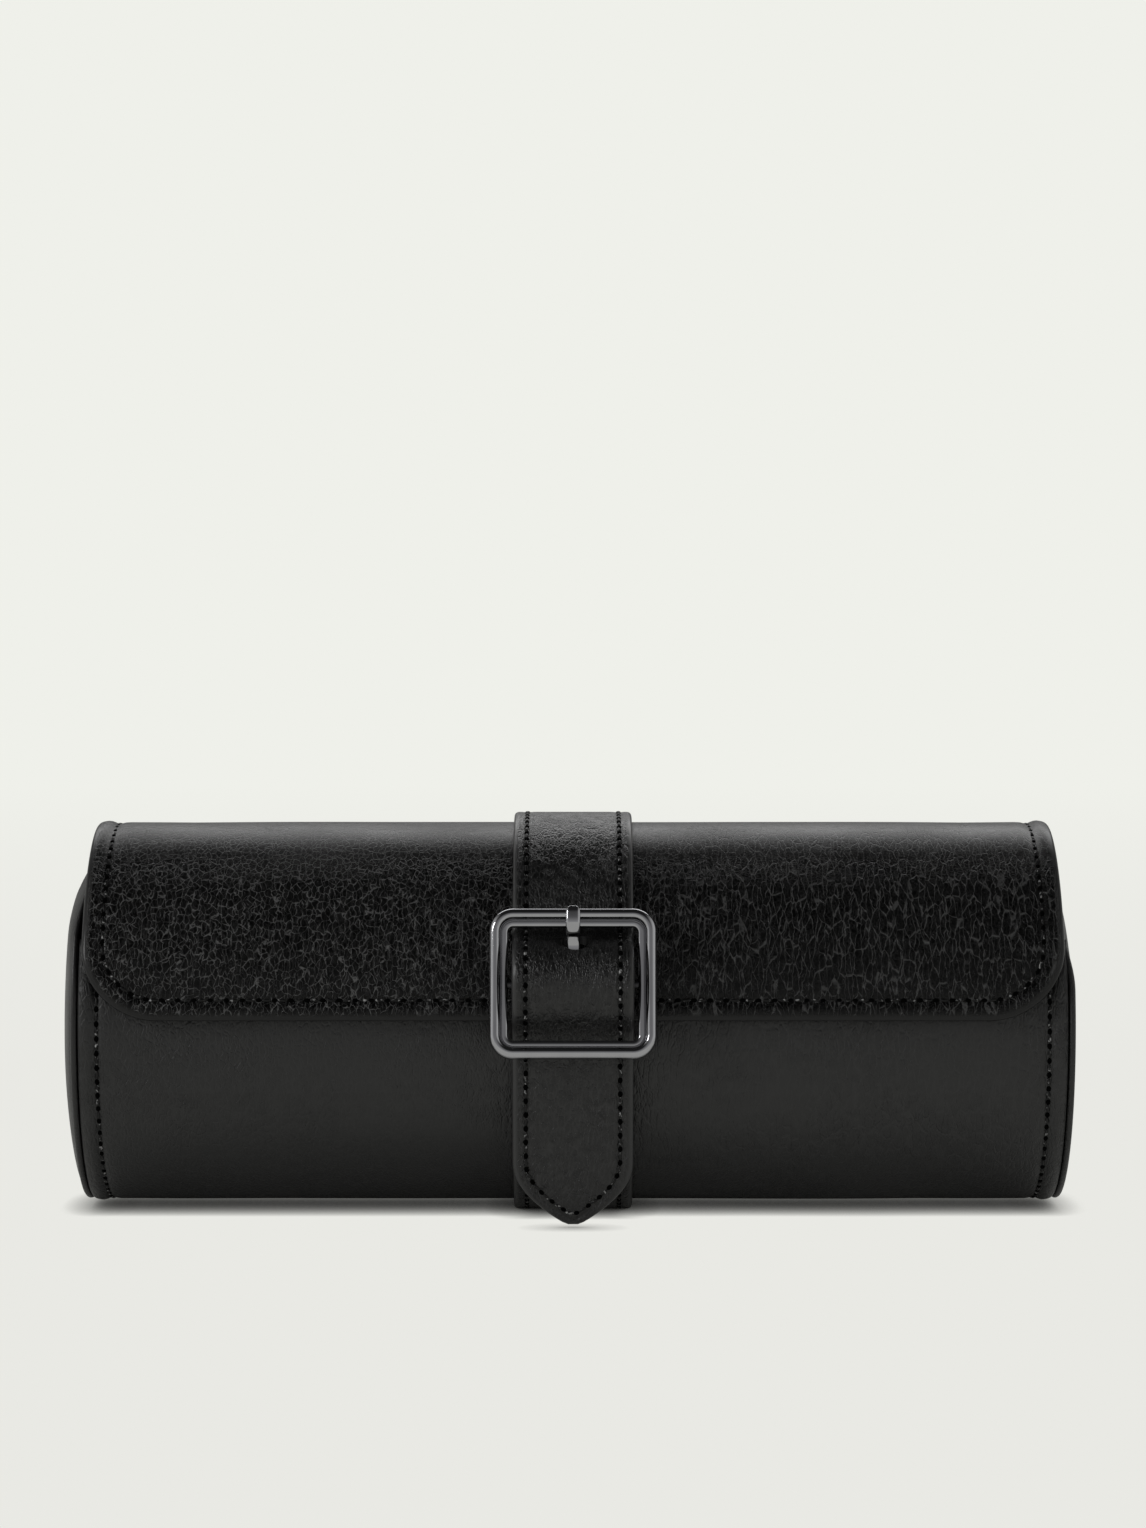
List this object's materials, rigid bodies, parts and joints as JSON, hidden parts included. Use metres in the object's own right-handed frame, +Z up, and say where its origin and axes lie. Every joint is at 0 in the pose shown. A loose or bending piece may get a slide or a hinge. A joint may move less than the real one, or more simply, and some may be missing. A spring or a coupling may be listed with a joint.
{
  "type": "watch roll",
  "caption": "Cylindrical leather watch roll with a wrap-over flap, padded ends, a buckled strap round its middle and watch pillows in divided cells inside.",
  "frame": {"origin": "on the surface it stands on, at the middle of the strap's flattened underside, below the tube's axis", "axes": "+X along the tube to the viewer's right, -Y to the buckle at the front, +Z up"},
  "size_m": [0.214, 0.0924, 0.084],
  "materials": {
    "leather": "black pebbled leather, satin",
    "strap_leather": "black smooth-grain strap leather, satin",
    "strap_backing": "black strap backing leather, matt",
    "welt_leather": "black rolled leather welt",
    "suede": "dark grey-black suede",
    "foam": "pale soft padding, unseen",
    "board": "fibre board, unseen",
    "gunmetal": "polished gunmetal plating"
  },
  "bodies": {
    "body": {"body_leather": "leather", "body_board": "board", "body_lining": "suede", "front_lip": "leather", "flap_back_panel": "leather", "strap_fixed": "strap_leather", "strap_fixed_lining": "strap_backing", "divider_left": "suede", "divider_right": "suede", "cap_leather_left": "leather", "cap_leather_right": "leather", "cap_padding_left": "foam", "cap_padding_right": "foam", "cap_foam_left": "foam", "cap_foam_right": "foam", "cap_board_left": "board", "cap_board_right": "board", "cap_lining_left": "suede", "cap_lining_right": "suede", "end_welt_left": "welt_leather", "end_welt_right": "welt_leather"},
    "flap": {"flap_leather": "leather", "flap_board": "board", "flap_lining": "suede", "strap_upper": "strap_leather", "strap_upper_lining": "strap_backing", "strap_free_end": "strap_leather", "strap_free_lining": "strap_backing"},
    "tab": {"strap_tab": "strap_leather"},
    "buckle": {"buckle_frame": "gunmetal", "buckle_bar": "gunmetal"},
    "prong": {"buckle_prong": "gunmetal"},
    "pillow_1": {"pillow_cover_1": "suede", "pillow_core_1": "foam"},
    "pillow_2": {"pillow_cover_2": "suede", "pillow_core_2": "foam"},
    "pillow_3": {"pillow_cover_3": "suede", "pillow_core_3": "foam"}
  },
  "joints": [
    {"name": "flap_fold", "type": "hinge", "parent": "body", "child": "flap", "pos_m": [0, 0.03802, 0.06215], "axis": [-1, 0, 0], "range_deg": [0, 110], "deforming": ["strap_free_end", "strap_free_lining"]},
    {"name": "tab_fold", "type": "hinge", "parent": "body", "child": "tab", "pos_m": [0, -0.03367, 0.01663], "axis": [1, 0, 0], "range_deg": [0, 88]},
    {"name": "buckle_rock", "type": "hinge", "parent": "tab", "child": "buckle", "pos_m": [0, -0.04279, 0.05087], "axis": [1, 0, 0], "range_deg": [-6, 6]},
    {"name": "prong_swing", "type": "hinge", "parent": "buckle", "child": "prong", "pos_m": [0, -0.04279, 0.05087], "axis": [1, 0, 0], "range_deg": [0, 100]},
    {"name": "pillow_1_turn", "type": "hinge", "parent": "body", "child": "pillow_1", "pos_m": [-0.06493, 0, 0.0305], "axis": [1, 0, 0], "range_deg": [-90, 90]},
    {"name": "pillow_2_turn", "type": "hinge", "parent": "body", "child": "pillow_2", "pos_m": [0, 0, 0.0305], "axis": [1, 0, 0], "range_deg": [-90, 90]},
    {"name": "pillow_3_turn", "type": "hinge", "parent": "body", "child": "pillow_3", "pos_m": [0.06493, 0, 0.0305], "axis": [1, 0, 0], "range_deg": [-90, 90]}
  ],
  "couplings": [
    {"joint": "tab_fold", "follows": "flap_fold", "ratio": 0.8}
  ]
}
